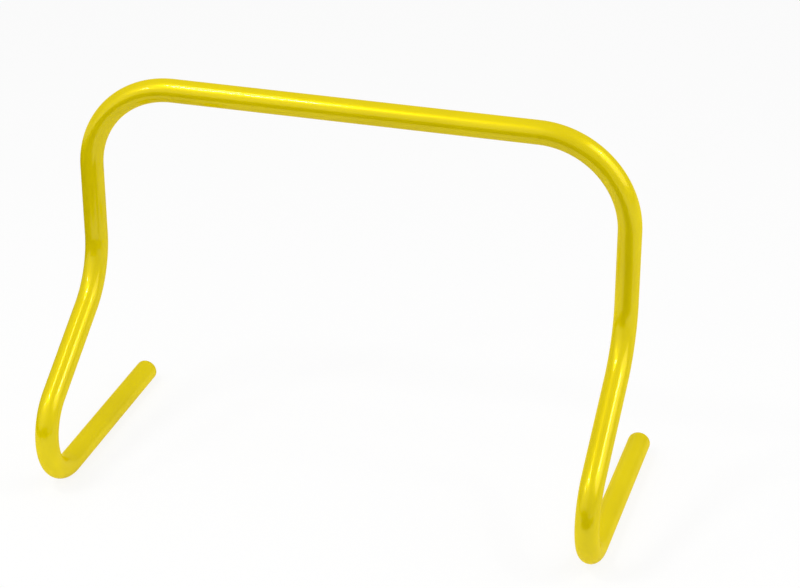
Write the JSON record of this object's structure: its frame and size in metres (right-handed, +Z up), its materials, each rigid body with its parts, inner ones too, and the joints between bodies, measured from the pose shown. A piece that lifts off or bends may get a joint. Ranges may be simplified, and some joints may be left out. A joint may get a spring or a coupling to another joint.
{
  "type": "speed hurdle",
  "caption": "Low training hurdle: a plastic tube bent into a gate with rounded corners, legs raked forward, toe bends and long feet that run back on the ground, each tube end closed by a plug.",
  "frame": {"origin": "on the ground, under the middle of the hurdle's overall box", "axes": "+X along the crossbar to the right, +Y from the toe bends to the free ends of the feet, +Z up"},
  "size_m": [0.467, 0.2195, 0.3281],
  "materials": {
    "tube_plastic": "glossy yellow",
    "plug_plastic": "satin yellow"
  },
  "bodies": {
    "root": {"bent_tube": "tube_plastic", "left_end_plug": "plug_plastic", "right_end_plug": "plug_plastic"}
  },
  "joints": []
}
